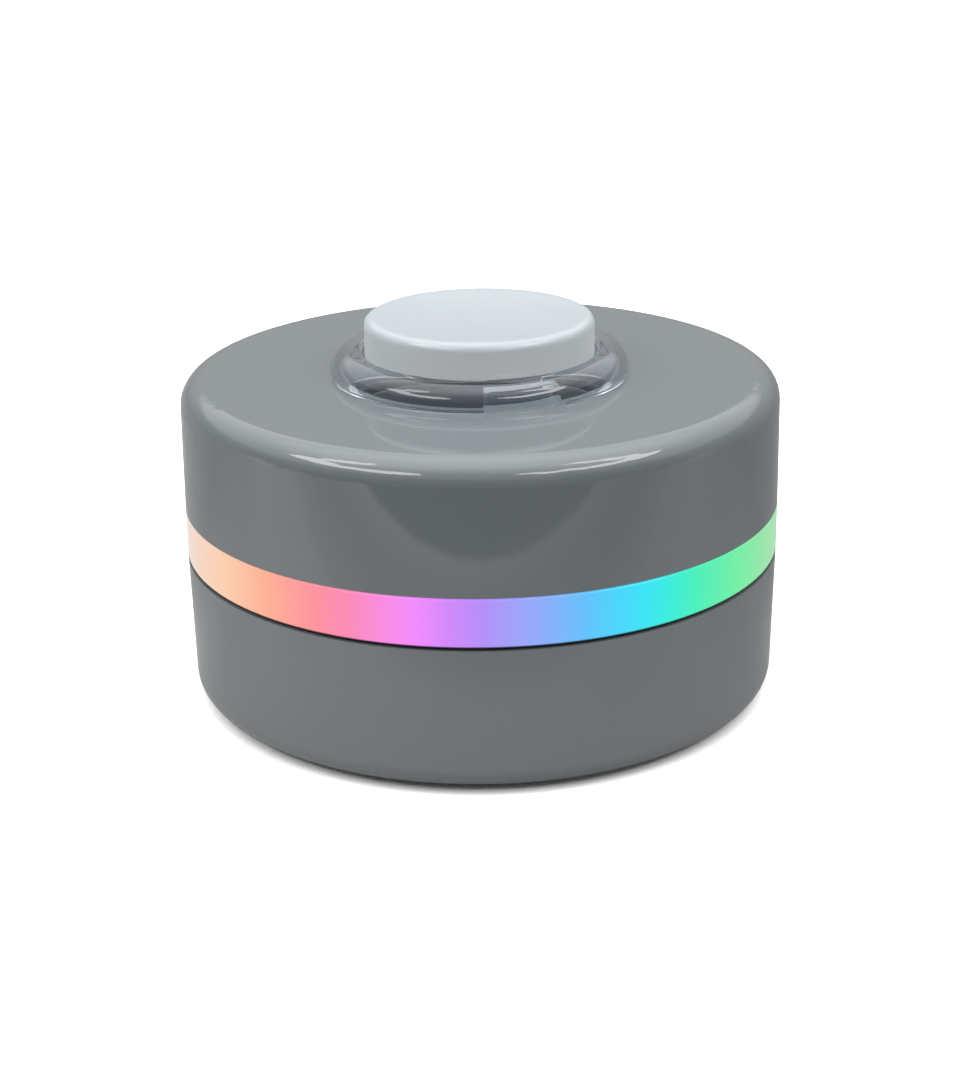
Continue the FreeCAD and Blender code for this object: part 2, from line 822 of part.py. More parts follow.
def make_board_parts():
    """Chips, module, capacitors and small parts on the upper side of the main board."""
    for name, across, along, length, width, height in BOARD_BLOCKS:
        sub_part(block(name, across, along, "board_top", length, width, height), name)
    shield = block("shield_can", 0, "shield_along", "board_top + module_thickness",
                   "shield_length", "shield_width", "shield_height")
    sub_part(shield, "shield_can")
    cans = [rod(f"filter_can_{name}", across, along, "board_top", "can_radius", "can_height")
            for name, across, along in FILTER_CANS]
    sub_part(group("filter_capacitors", cans), "filter_capacitors")
    small = []
    for row, (first, along, count) in enumerate(SMD_ROWS):
        for place in range(count):
            across = f"{first} + {place} * smd_pitch"
            small.append(block(f"smd_{row}_{place}", across, along, "board_top",
                               "smd_length", "smd_width", "smd_height"))
    sub_part(group("smd_parts", small), "smd_parts")


def make_audio_jack():
    """Black 3.5 mm stereo socket with its nose in the case's wall, and its solder lugs."""
    body = new_body("audio_jack")
    box = sketch(body, "box_outline", "XY", "board_top")
    half = "jack_width / 2"
    rectangle(box, f"jack_across - {half}", f"jack_across + {half}", "jack_back", "jack_front")
    raised(body, "box", box, "jack_height")
    middle = "board_top + jack_height / 2"
    nose = sketch(body, "nose_circle", "XZ", "-socket_face")
    circle(nose, "jack_across", middle, "jack_nose")
    raised(body, "nose", nose, "socket_face - jack_front + overlap")
    bore = sketch(body, "bore_circle", "XZ", "-socket_face")
    circle(bore, "jack_across", middle, "jack_bore")
    sunk(body, "bore", bore, "jack_depth", forward=True)
    sub_part(body, "audio_jack")

    lugs = []
    for side in (-1, 1):
        for place, along in enumerate(("jack_back + lug_inset", "jack_front - lug_inset")):
            name = f"jack_lug_{side + 1}_{place}"
            across = f"jack_across + {side} * (jack_width / 2 + lug_metal / 2)"
            lugs.append(block(name, across, along, "board_top", "lug_metal", "lug_width", "lug_height"))
    sub_part(group("jack_contacts", lugs), "jack_contacts")


def make_usb_socket():
    """USB-C charging socket: steel shell with four legs, and the tongue inside."""
    body = new_body("usb_shell")
    middle = "board_top + usb_half_height"
    outside = sketch(body, "shell_outline", "XZ", "-socket_face")
    long_hole(outside, "usb_across", middle, "usb_half_width", "usb_half_height")
    raised(body, "shell", outside, "socket_face - usb_back")
    legs = sketch(body, "leg_outlines", "XY", "board_top")
    for side in (-1, 1):
        inner = f"usb_across + {side} * (usb_half_width - usb_leg_metal)"
        outer = f"usb_across + {side} * usb_half_width"
        left, right = (outer, inner) if side < 0 else (inner, outer)
        for back in ("usb_back + usb_end_wall", "usb_back + usb_end_wall + usb_leg_pitch"):
            rectangle(legs, left, right, back, f"{back} + usb_leg_length")
    raised(body, "legs", legs, "usb_half_height")
    inside = sketch(body, "mouth_outline", "XZ", "-socket_face")
    half_wide = "usb_half_width - usb_metal"
    long_hole(inside, "usb_across", middle, half_wide, "usb_half_height - usb_metal")
    sunk(body, "mouth", inside, "socket_face - usb_back - usb_end_wall", forward=True)
    sub_part(body, "usb_shell")

    tongue_middle = "usb_back + usb_end_wall + tongue_length / 2"
    tongue = block("usb_tongue", "usb_across", tongue_middle, f"{middle} - tongue_height / 2",
                   "tongue_width", "tongue_length", "tongue_height")
    sub_part(tongue, "usb_tongue")


def make_battery():
    """Flat lithium cell on its foam pad, with two wires to the header on the board."""
    pad = block("battery_pad", 0, 0, "floor_top", "cell_length - 2 * pad_inset",
                "cell_width - 2 * pad_inset", "cell_bottom - floor_top")
    sub_part(pad, "battery_pad")
    body = new_body("battery_cell")
    face = sketch(body, "cell_outline", "XY", "cell_bottom")
    rectangle(face, "-cell_length / 2", "cell_length / 2", "-cell_width / 2", "cell_width / 2")
    raised(body, "pouch", face, "cell_height")

    def long_edge(edge):
        return edge.Length > number("(cell_width + cell_length) / 2")

    rounded(body, "long_edge_rounding", "pouch_rounding", long_edge)
    sub_part(body, "battery_cell")
    leads = [[
        ("cell_length / 2", side, "lead_height"),
        ("lead_rise", side, "lead_height"),
        ("lead_rise", side, "lead_plug_height"),
        ("lead_plug", side, "lead_plug_height"),
    ] for side in ("-lead_spacing", "lead_spacing")]
    cable("battery_leads", leads, "wire_bend")


# ---------------------------------------------------------------- light engine

def make_light_engine():
    """Twelve coloured LEDs on a ring board between two white reflectors, and their wires."""
    lower = new_body("lower_reflector")
    turned(lower, "ring", [
        ("reflector_inside", "ledge_top"),
        ("reflector_outside", "ledge_top"),
        ("reflector_outside", "ring_board_top"),
        ("ring_board_outside + ring_board_play", "ring_board_top"),
        ("ring_board_outside + ring_board_play", "ring_board_bottom"),
        ("reflector_inside", "ring_board_bottom"),
    ])
    sub_part(lower, "lower_reflector")

    upper = new_body("upper_reflector")
    turned(upper, "ring", [
        ("reflector_inside", "ring_board_top"),
        ("reflector_inside + reflector_wall", "ring_board_top"),
        ("reflector_inside + reflector_wall", "reflector_top - reflector_lid"),
        ("reflector_outside", "reflector_top - reflector_lid"),
        ("reflector_outside", "reflector_top"),
        ("reflector_inside", "reflector_top"),
    ])
    sub_part(upper, "upper_reflector")

    board = new_body("led_board")
    ring = sketch(board, "ring_circles", "XY", "ring_board_bottom")
    circle(ring, 0, 0, "ring_board_outside")
    circle(ring, 0, 0, "reflector_inside")
    raised(board, "ring", ring, "ring_board_top - ring_board_bottom")
    tab = sketch(board, "tab_outline", "XY", "ring_board_bottom")
    rectangle(tab, "-tab_reach", "-tab_inside", "-tab_half_width", "tab_half_width")
    raised(board, "tab", tab, "ring_board_top - ring_board_bottom")
    sub_part(board, "led_board")

    leds = []
    for place in range(RING_LED_COUNT):
        angle = 360 / RING_LED_COUNT * (place + 0.5)
        leds.append(block_on_ring(f"ring_led_{place}", "ring_led_orbit", angle, "ring_board_top",
                                  "ring_led_depth", "ring_led_width", "ring_led_height"))
    sub_part(group("rgb_leds", leds), "rgb_leds")
    wires = [[
        ("harness_start", side, "ring_board_bottom"),
        ("harness_start", side, "harness_bend_height"),
        ("harness_plug", side, "harness_turn_height"),
        ("harness_plug", side, "board_top + header_height"),
    ] for side in ("-harness_pitch", 0, "harness_pitch")]
    cable("led_harness", wires, "harness_bend")


# ---------------------------------------------------------------- push button

def make_button_bezel():
    """Clear collar: a domed flange with a pocket under its front, and a barrel that stops the cap."""
    body = new_body("button_bezel")
    turned(body, "collar", [
        ("bezel_bore", "bezel_top"),
        ("bezel_radius", "bezel_top"),
        ("bezel_radius", "cover_top"),
        ("barrel_radius", "cover_top"),
        ("barrel_radius", "barrel_end"),
        ("bezel_bore", "barrel_end"),
        ("bezel_bore", "stop_bottom"),
        ("stop_radius", "stop_bottom"),
        ("stop_radius", "stop_top"),
        ("bezel_bore", "stop_top"),
    ])
    rounded(body, "outer_rounding", "bezel_rounding", ring_edge("bezel_radius", "bezel_top"))
    rounded(body, "inner_rounding", "bezel_lip", ring_edge("bezel_bore", "bezel_top"))
    pocket = sketch(body, "flange_pocket_outline", "XY", "cover_top")
    ring_sector(pocket, "pocket_inside", "pocket_outside", POCKET_FROM, POCKET_TO)
    sunk(body, "flange_pocket", pocket, "pocket_height", forward=True)
    windows = sketch(body, "lug_windows", "XY", "window_bottom")
    for left, right in two_sides("window_inside", "window_outside"):
        rectangle(windows, left, right, "-window_half_width", "window_half_width")
    sunk(body, "lug_window_cuts", windows, "window_height", forward=True)
    sub_part(body, "button_bezel")


def make_bezel_nut():
    """Hexagonal nut that clamps the cover's top against the bezel's flange."""
    body = new_body("bezel_nut")
    hexagon = sketch(body, "nut_outline", "XY", "nut_bottom")
    corners = [around("nut_flats / 2 / cos(30 deg)", 60 * place) for place in range(6)]
    outline(hexagon, corners)
    circle(hexagon, 0, 0, "barrel_radius + nut_play")
    raised(body, "nut", hexagon, "cover_ceiling - nut_bottom")
    sub_part(body, "bezel_nut")


def make_button_cap():
    """White translucent cap with a rounded rim and a slightly dished top."""
    body = new_body("button_cap")
    turned(body, "cup", [
        (0, "cap_top"),
        ("cap_radius", "cap_top"),
        ("cap_radius", "cap_skirt"),
        ("cap_inside", "cap_skirt"),
        ("cap_inside", "cap_ceiling"),
        (0, "cap_ceiling"),
    ])
    rounded(body, "rim", "cap_rim", ring_edge("cap_radius", "cap_top"))
    rounded(body, "inner_rounding", "cap_inner_rounding", ring_edge("cap_inside", "cap_ceiling"))
    ball_radius = "(dish_radius^2 + cap_dish^2) / (2 * cap_dish)"
    ball = body.newObject("PartDesign::SubtractiveSphere", "dish")
    ball.setExpression("Radius", linked(ball_radius))
    plane = next(face for face in body.Origin.OriginFeatures if face.Role == "XY_Plane")
    ball.AttachmentSupport = (plane, [""])
    ball.MapMode = "FlatFace"
    ball.setExpression(".AttachmentOffset.Base.z", linked(f"cap_top - cap_dish + {ball_radius}"))
    doc.recompute()
    sub_part(body, "button_cap")


def make_button_plunger():
    """Disc glued into the cap, with the stem for the switch and two hooks under the bezel's stop."""
    body = new_body("button_plunger")
    disc = sketch(body, "disc_circle", "XY", "plunger_bottom")
    circle(disc, 0, 0, "plunger_radius")
    raised(body, "disc", disc, "plunger_top - plunger_bottom")
    lights = sketch(body, "light_circles", "XY", "plunger_top")
    for angle in SCREW_ANGLES:
        circle(lights, *around("lamp_orbit", angle), "light_hole")
    sunk(body, "light_holes", lights, "cut_reach")
    stem = sketch(body, "stem_circle", "XY", "plunger_bottom + overlap")
    circle(stem, 0, 0, "stem_radius")
    raised(body, "stem", stem, "plunger_bottom + overlap - stem_end", back=True)
    tip = sketch(body, "tip_circle", "XY", "stem_tip")
    circle(tip, 0, 0, "tip_radius")
    raised(body, "tip", tip, "tip_length")
    rounded(body, "tip_end_rounding", "tip_rounding", ring_edge("tip_radius", "stem_tip"))
    legs = sketch(body, "leg_outlines", "XY", "leg_end")
    hooks = sketch(body, "hook_outlines", "XY", "leg_end")
    for low, high in two_sides("leg_inside", "leg_outside"):
        rectangle(legs, "-leg_half_width", "leg_half_width", low, high)
    for low, high in two_sides("leg_inside", "hook_reach"):
        rectangle(hooks, "-leg_half_width", "leg_half_width", low, high)
    raised(body, "legs", legs, "plunger_bottom + overlap - leg_end")
    raised(body, "hooks", hooks, "hook_top - leg_end")
    sub_part(body, "button_plunger")


def make_return_spring():
    """Coil spring between the base and the plunger."""
    start = "base_top + spring_wire + spring_play"
    height = f"plunger_bottom - spring_wire - spring_play - ({start})"
    coil = doc.addObject("Part::Helix", "spring_line")
    coil.setExpression("Radius", linked("spring_radius"))
    coil.setExpression("Height", linked(height))
    coil.setExpression("Pitch", linked(f"({height}) / spring_turns"))
    coil.setExpression("Placement.Base.z", linked(start))
    section = doc.addObject("Part::Circle", "spring_section")
    section.setExpression("Radius", linked("spring_wire"))
    section.Placement.Rotation = FreeCAD.Rotation(FreeCAD.Vector(1, 0, 0), 90)
    section.setExpression("Placement.Base.x", linked("spring_radius"))
    section.setExpression("Placement.Base.z", linked(start))
    doc.recompute()
    sweep = doc.addObject("Part::Sweep", "return_spring")
    sweep.Sections = [section]
    sweep.Spine = (coil, [f"Edge{place}" for place in range(1, len(coil.Shape.Edges) + 1)])
    sweep.Solid = True
    sweep.Frenet = True
    sub_part(sweep, "return_spring")


def make_button_base():
    """Holder that closes the barrel, guides the stem, seats the spring and carries the lamp board."""
    body = new_body("button_base")
    turned(body, "plug", [
        ("stem_hole", "base_bottom"),
        ("barrel_radius", "base_bottom"),
        ("barrel_radius", "barrel_end"),
        ("base_radius", "barrel_end"),
        ("base_radius", "base_top"),
        ("stem_hole", "base_top"),
    ])
    windows = sketch(body, "hook_windows", "XY", "base_top")
    for low, high in two_sides("hook_window_inside", "hook_window_outside"):
        rectangle(windows, "-hook_window_half_width", "hook_window_half_width", low, high)
    for side in ("-lamp_wire_across", "lamp_wire_across"):
        circle(windows, side, "-lamp_orbit", "lamp_wire_hole")
    sunk(body, "hook_window_cuts", windows, "base_top - base_bottom + overlap")
    lugs = sketch(body, "lug_outlines", "XY", "base_lug_bottom")
    for left, right in two_sides("base_lug_inside", "base_lug_outside"):
        rectangle(lugs, left, right, "-base_lug_half_width", "base_lug_half_width")
    raised(body, "lugs", lugs, "base_lug_height")
    sub_part(body, "button_base")


def make_button_lamp():
    """Small ring board with four white LEDs under the cap, and its two wires."""
    board = new_body("button_led_board")
    ring = sketch(board, "lamp_circles", "XY", "base_top")
    circle(ring, 0, 0, "lamp_board_outside")
    circle(ring, 0, 0, "lamp_board_inside")
    raised(board, "ring", ring, "lamp_board_top - base_top")
    sub_part(board, "button_led_board")
    lamps = []
    for angle in SCREW_ANGLES:
        lamps.append(block_on_ring(f"lamp_{angle}", "lamp_orbit", angle, "lamp_board_top",
                                   "lamp_size", "lamp_size", "lamp_height"))
    sub_part(group("button_leds", lamps), "button_leds")
    wires = [[
        (side, "-lamp_orbit", "base_top"),
        (side, "-lamp_orbit", "lamp_wire_bend"),
        (side, "lamp_wire_plug", "lamp_wire_turn"),
        (side, "lamp_wire_plug", "board_top + header_height"),
    ] for side in ("-lamp_wire_across", "lamp_wire_across")]
    cable("button_harness", wires, "wire_bend")


# ---------------------------------------------------------------- key switch

def make_switch():
    """Small snap-action switch on the main board: case, terminals, pin and hinged lever."""
    body = new_body("switch_body")
    right = "switch_left + switch_length"
    half = "switch_width / 2"
    base = sketch(body, "case_outline", "XY", "board_top")
    rectangle(base, "switch_left", right, f"-{half}", half)
    raised(body, "case", base, "switch_height")
    ears = sketch(body, "ear_outlines", "XY", "board_top + switch_height - overlap")
    for low, high in two_sides("ear_inside", "ear_outside"):
        rectangle(ears, "switch_left", "switch_left + ear_length", low, high)
    raised(body, "ears", ears, "ear_height + overlap")
    holes = sketch(body, "ear_holes", "XZ")
    circle(holes, "pivot_across", "pivot_height", "pivot_radius + pivot_play")
    sunk(body, "ear_hole_cuts", holes, "switch_width + overlap", middle=True)
    slot = sketch(body, "pin_slot_outline", "XY", "board_top + switch_height")
    reach_x = "(pin_length / 2 + pin_play)"
    reach_y = "(pin_width / 2 + pin_play)"
    rectangle(slot, f"pin_across - {reach_x}", f"pin_across + {reach_x}", f"-{reach_y}", reach_y)
    sunk(body, "pin_slot", slot, "pin_slot_depth")
    sub_part(body, "switch_body")

    terminals = []
    for place, across in enumerate(TERMINAL_PLACES):
        terminals.append(block(f"terminal_{place}", across, 0, "board_bottom - terminal_end",
                               "terminal_length", "terminal_width",
                               "board_top - board_bottom + terminal_end"))
    sub_part(group("switch_terminals", terminals), "switch_terminals")
    pin = block("switch_pin", "pin_across", 0, "pin_top - pin_height",
                "pin_length", "pin_width", "pin_height")
    sub_part(pin, "switch_pin")

    strip = doc.addObject("Part::Box", "lever_strip")
    strip.setExpression("Length", linked("lever_length"))
    strip.setExpression("Width", linked("lever_width"))
    strip.setExpression("Height", linked("lever_metal"))
    strip.setExpression("Placement.Base.y", linked("-lever_width / 2"))
    strip.setExpression("Placement.Base.z", linked("-lever_metal / 2"))
    pivot = doc.addObject("Part::Cylinder", "lever_pivot")
    pivot.setExpression("Radius", linked("pivot_radius"))
    pivot.setExpression("Height", linked("switch_width - 2 * pivot_inset"))
    pivot.Placement.Rotation = FreeCAD.Rotation(FreeCAD.Vector(1, 0, 0), 90)
    pivot.setExpression("Placement.Base.y", linked("switch_width / 2 - pivot_inset"))
    lever = fused("switch_lever", [strip, pivot])
    lever.Placement.Rotation = FreeCAD.Rotation(FreeCAD.Vector(0, -1, 0), number("lever_angle"))
    lever.setExpression("Placement.Base.x", linked("pivot_across"))
    lever.setExpression("Placement.Base.z", linked("pivot_height"))
    sub_part(lever, "switch_lever")


# ---------------------------------------------------------------- build, check and write

make_lower_case()
make_upper_cover()
make_light_ring()
make_foot_ring()
make_case_screws()
make_main_board()
make_board_parts()
make_audio_jack()
make_usb_socket()
make_battery()
make_light_engine()
make_button_bezel()
make_bezel_nut()
make_button_cap()
make_button_plunger()
make_return_spring()
make_button_base()
make_button_lamp()
make_switch()
doc.recompute()

for thing in doc.Objects:
    if "Invalid" in thing.State or "Error" in thing.State:
        raise ValueError(f"{thing.Label} failed: {thing.State}")
for thing in SUB_PARTS:
    if thing.Shape.isNull() or not thing.Shape.isValid():
        raise ValueError(f"{thing.Label} has no valid shape")
    thing.Shape.exportStep(os.path.join("parts", thing.Label + ".step"))
    print(thing.Label, len(thing.Shape.Solids), round(thing.Shape.Volume, 1))
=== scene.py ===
"""Looks of the round Bluetooth audio receiver: meshes, materials, floor, lights and camera."""

import math

import bmesh
import bpy
from mathutils import Matrix, Vector


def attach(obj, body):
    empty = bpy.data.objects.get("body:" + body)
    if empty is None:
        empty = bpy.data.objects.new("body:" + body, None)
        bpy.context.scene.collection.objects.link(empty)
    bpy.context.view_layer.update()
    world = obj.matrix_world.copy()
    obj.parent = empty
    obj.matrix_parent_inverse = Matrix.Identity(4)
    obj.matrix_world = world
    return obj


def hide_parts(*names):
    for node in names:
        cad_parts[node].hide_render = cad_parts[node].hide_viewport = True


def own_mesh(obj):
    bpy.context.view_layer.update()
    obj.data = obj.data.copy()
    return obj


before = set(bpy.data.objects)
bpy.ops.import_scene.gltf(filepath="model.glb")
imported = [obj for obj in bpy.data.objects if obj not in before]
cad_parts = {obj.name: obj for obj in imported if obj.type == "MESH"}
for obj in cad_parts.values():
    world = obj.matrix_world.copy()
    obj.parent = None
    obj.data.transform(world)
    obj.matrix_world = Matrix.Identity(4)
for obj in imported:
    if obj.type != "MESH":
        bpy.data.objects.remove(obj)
MM = 0.001
FULL_TURN = 2 * math.pi
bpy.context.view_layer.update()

# ---------------------------------------------------------------- sizes of the visible shells, in mm

STEPS_ROUND = 192           # facets round each turned piece
FLANGE_SEAT = 35.98         # a hair inside the cover: the clear flange touches it without an air gap

BEZEL_RADIUS = 16.45
BEZEL_TOP = 38.65
BEZEL_BORE = 12.9
BARREL_RADIUS = 13.9
BARREL_END = 21.6
BEZEL_ROUNDING = 2.3
POCKET_INSIDE = 14.1
POCKET_OUTSIDE = 15.3
POCKET_HEIGHT = 1.7
POCKET_FROM, POCKET_TO = -88.8, -57.5       # first and last angle in degrees, -90 is the front

CAP_RADIUS = 12.6
CAP_TOP = 42.2
CAP_SKIRT = 31.4
CAP_INSIDE = 11.0
CAP_CEILING = 40.0
CAP_ROUNDING = 0.9
CAP_DISH = 0.35             # depth of the shallow dish in the cap's top
DISH_RADIUS = 11.2
DISH_STEPS = 12

SPRING_SEAT = 24.0
PLUNGER_BOTTOM = 32.0
SPRING_RADIUS = 4.2
SPRING_WIRE = 0.25
SPRING_TURNS = 5
SPRING_PLAY = 0.02          # gap left at each end of the spring
STEPS_PER_COIL = 24
WIRE_SIDES = 10

SMOOTHING_ANGLE = 28        # degrees; sharper edges stay sharp


# ---------------------------------------------------------------- node materials

FINE_GRAIN = 900.0          # noise scale of a fine grain
GRAIN_DEPTH = 0.00004       # height of the grain, in metres
RIPPLE_DEPTH = 0.00005      # height of a moulded surface's slow ripple, in metres


def new_material(name):
    """Empty node material: its tree, its shader and its output."""
    material = bpy.data.materials.new(name)
    material.use_nodes = True
    tree = material.node_tree
    tree.nodes.clear()
    output = tree.nodes.new("ShaderNodeOutputMaterial")
    shader = tree.nodes.new("ShaderNodeBsdfPrincipled")
    tree.links.new(shader.outputs["BSDF"], output.inputs["Surface"])
    return material, tree, shader


def link_noise(tree, scale, detail=3.0):
    """Value of a noise in the object's own coordinates, in metres."""
    place = tree.nodes.new("ShaderNodeTexCoord")
    noise = tree.nodes.new("ShaderNodeTexNoise")
    noise.inputs["Scale"].default_value = scale
    noise.inputs["Detail"].default_value = detail
    tree.links.new(place.outputs["Object"], noise.inputs["Vector"])
    return noise.outputs["Fac"]


def link_range(tree, source, low, high):
    """Source value from 0..1 spread over low..high."""
    spread = tree.nodes.new("ShaderNodeMapRange")
    spread.inputs["To Min"].default_value = low
    spread.inputs["To Max"].default_value = high
    tree.links.new(source, spread.inputs["Value"])
    return spread.outputs["Result"]


def link_mix(tree, factor, first, second):
    """Colour between two colours, each a plain colour or a node's output."""
    mix = tree.nodes.new("ShaderNodeMix")
    mix.data_type = "RGBA"
    for socket, colour in (("A", first), ("B", second)):
        if isinstance(colour, bpy.types.NodeSocket):
            tree.links.new(colour, mix.inputs[socket])
        else:
            mix.inputs[socket].default_value = (*colour, 1)
    tree.links.new(factor, mix.inputs["Factor"])
    return mix.outputs["Result"]


def link_ramp(tree, source, stops, interpolation="LINEAR"):
    """Colour read off stops, each a position from 0 to 1 and a colour."""
    ramp = tree.nodes.new("ShaderNodeValToRGB")
    ramp.color_ramp.interpolation = interpolation
    elements = ramp.color_ramp.elements
    for element, (_, colour) in zip(elements, (stops[0], stops[-1])):
        element.color = (*colour, 1)
    for position, colour in stops[1:-1]:
        elements.new(position).color = (*colour, 1)
    tree.links.new(source, ramp.inputs["Fac"])
    return ramp.outputs["Color"]


def link_place(tree):
    """X, Y and Z of the point in the object's own coordinates."""
    place = tree.nodes.new("ShaderNodeTexCoord")
    split = tree.nodes.new("ShaderNodeSeparateXYZ")
    tree.links.new(place.outputs["Object"], split.inputs["Vector"])
    return split.outputs


def link_rise(tree, source, low, high):
    """0 where the source is below low, 1 above high, lengths in mm."""
    rise = tree.nodes.new("ShaderNodeMapRange")
    rise.inputs["From Min"].default_value = low * MM
    rise.inputs["From Max"].default_value = high * MM
    tree.links.new(source, rise.inputs["Value"])
    return rise.outputs["Result"]


def link_roughness(tree, shader, mottle, low, high):
    """Roughness that wanders between two values."""
    tree.links.new(link_range(tree, mottle, low, high), shader.inputs["Roughness"])


def link_bump(tree, shader, height, strength, distance):
    """Fine surface relief."""
    bump = tree.nodes.new("ShaderNodeBump")
    bump.inputs["Strength"].default_value = strength
    bump.inputs["Distance"].default_value = distance
    tree.links.new(height, bump.inputs["Height"])
    tree.links.new(bump.outputs["Normal"], shader.inputs["Normal"])


def plain(name, dark, light, roughness, metallic=0.0, relief=0.08):
    """Material with a slight mottle in colour and roughness, and a fine grain."""
    material, tree, shader = new_material(name)
    mottle = link_noise(tree, 160.0)
    fine = link_noise(tree, FINE_GRAIN, detail=2.0)
    tree.links.new(link_mix(tree, mottle, dark, light), shader.inputs["Base Color"])
    link_roughness(tree, shader, mottle, roughness * 0.88, roughness * 1.12)
    shader.inputs["Metallic"].default_value = metallic
    link_bump(tree, shader, fine, relief, GRAIN_DEPTH)
    return material


SHELL_REFRACTION = 1.5


def shell_material():
    """Glossy grey moulded plastic with a very slight ripple."""
    material, tree, shader = new_material("grey_gloss_plastic")
    mottle = link_noise(tree, 90.0)
    ripple = link_noise(tree, 55.0, detail=1.0)
    colour = link_mix(tree, mottle, (0.104, 0.117, 0.123), (0.111, 0.124, 0.130))
    tree.links.new(colour, shader.inputs["Base Color"])
    link_roughness(tree, shader, mottle, 0.05, 0.07)
    shader.inputs["IOR"].default_value = SHELL_REFRACTION
    link_bump(tree, shader, ripple, 0.05, RIPPLE_DEPTH)
    return material


RING_COLOURS = [
    # (angle from the front towards +X in degrees, linear red, green, blue)
    (-180, 0.70, 0.62, 0.20),
    (-120, 0.90, 0.70, 0.40),
    (-76, 0.74, 0.62, 0.56),
    (-64, 0.88, 0.60, 0.46),
    (-54, 0.94, 0.57, 0.37),
    (-42, 0.96, 0.40, 0.26),
    (-30, 0.98, 0.25, 0.32),
    (-24, 0.96, 0.23, 0.45),
    (-18, 0.97, 0.24, 0.72),
    (-12, 0.91, 0.24, 0.99),
    (-6, 0.64, 0.23, 0.98),
    (0, 0.45, 0.26, 0.96),
    (6, 0.33, 0.36, 0.97),
    (12, 0.22, 0.43, 0.97),
    (18, 0.10, 0.53, 0.98),
    (24, 0.04, 0.67, 0.98),
    (30, 0.01, 0.78, 0.92),
    (36, 0.01, 0.87, 0.66),
    (42, 0.04, 0.87, 0.47),
    (54, 0.14, 0.85, 0.35),
    (68, 0.30, 0.74, 0.37),
    (82, 0.36, 0.62, 0.40),
    (120, 0.45, 0.75, 0.30),
    (180, 0.70, 0.62, 0.20),
]
RING_GLOW = 0.90
GLOW_STARTS, GLOW_FULL = 16.72, 16.92       # unlit below the first height, full glow above the second, mm


def ring_material():
    """Translucent band lit from behind, its hue turning once round the puck."""
    material, tree, shader = new_material("ring_glow")
    place = link_place(tree)
    flip = tree.nodes.new("ShaderNodeMath")
    flip.operation = "MULTIPLY"
    flip.inputs[1].default_value = -1.0
    tree.links.new(place["Y"], flip.inputs[0])
    angle = tree.nodes.new("ShaderNodeMath")
    angle.operation = "ARCTAN2"
    tree.links.new(place["X"], angle.inputs[0])
    tree.links.new(flip.outputs["Value"], angle.inputs[1])
    turn = tree.nodes.new("ShaderNodeMapRange")
    turn.inputs["From Min"].default_value = -math.pi
    turn.inputs["From Max"].default_value = math.pi
    tree.links.new(angle.outputs["Value"], turn.inputs["Value"])
    stops = [((degrees + 180) / 360, colour) for degrees, *colour in RING_COLOURS]
    hue = link_ramp(tree, turn.outputs["Result"], stops)

    mottle = link_noise(tree, 120.0)
    link_roughness(tree, shader, mottle, 0.25, 0.32)
    unlit = link_mix(tree, link_range(tree, mottle, 0.94, 0.96), hue, (0.02, 0.02, 0.02))
    tree.links.new(unlit, shader.inputs["Base Color"])
    shader.inputs["Specular IOR Level"].default_value = 0.25
    rise = link_rise(tree, place["Z"], GLOW_STARTS, GLOW_FULL)
    glow = link_mix(tree, rise, (0.01, 0.01, 0.01), hue)
    tree.links.new(glow, shader.inputs["Emission Color"])
    shader.inputs["Emission Strength"].default_value = RING_GLOW
    link_bump(tree, shader, mottle, 0.05, GRAIN_DEPTH)
    return material


CLEAR_REFRACTION = 1.49
BARREL_LIT_TO, BARREL_CLEAR_FROM = 34.0, 35.2       # the faint painted glow fades out between, in mm
# Strength of the painted glow on the barrel below the cover.
BARREL_PAINTED_GLOW = 0.05


def clear_material():
    """Polished clear plastic of the collar; a faint painted glow on the threaded barrel inside stands in
    for the lamps' light that it catches.
    """
    material, tree, shader = new_material("clear_plastic")
    mottle = link_noise(tree, 260.0)
    colour = link_mix(tree, mottle, (0.84, 0.90, 0.975), (0.88, 0.935, 0.99))
    tree.links.new(colour, shader.inputs["Base Color"])
    link_roughness(tree, shader, mottle, 0.0, 0.03)
    shader.inputs["IOR"].default_value = CLEAR_REFRACTION
    shader.inputs["Transmission Weight"].default_value = 1.0
    # Painted glow: the barrel below the cover glows faintly bluish, fading out upwards.
    above = link_rise(tree, link_place(tree)["Z"], BARREL_LIT_TO, BARREL_CLEAR_FROM)
    glow = link_mix(tree, above, (0.80, 0.90, 1.0), (0.0, 0.0, 0.0))
    tree.links.new(glow, shader.inputs["Emission Color"])
    shader.inputs["Emission Strength"].default_value = BARREL_PAINTED_GLOW
    link_bump(tree, shader, mottle, 0.06, GRAIN_DEPTH)
    return material


# Strength of the glow painted on the cap, which is no lamp itself.
CAP_PAINTED_GLOW = 0.225
CAP_SCATTER = (0.0015, 0.0016, 0.0017)      # how far red, green and blue spread inside, in metres
SKIRT_DARK_TO, SKIRT_LIGHT_FROM = 36.2, 38.3        # the skirt's painted shade fades into the cap's colour and painted glow between, in mm
# Painted shade and a dimmer painted glow for the skirt down inside the collar.
SKIRT_PAINTED_SHADE = (0.02, 0.024, 0.032)
SKIRT_PAINTED_GLOW = (0.21, 0.22, 0.25)


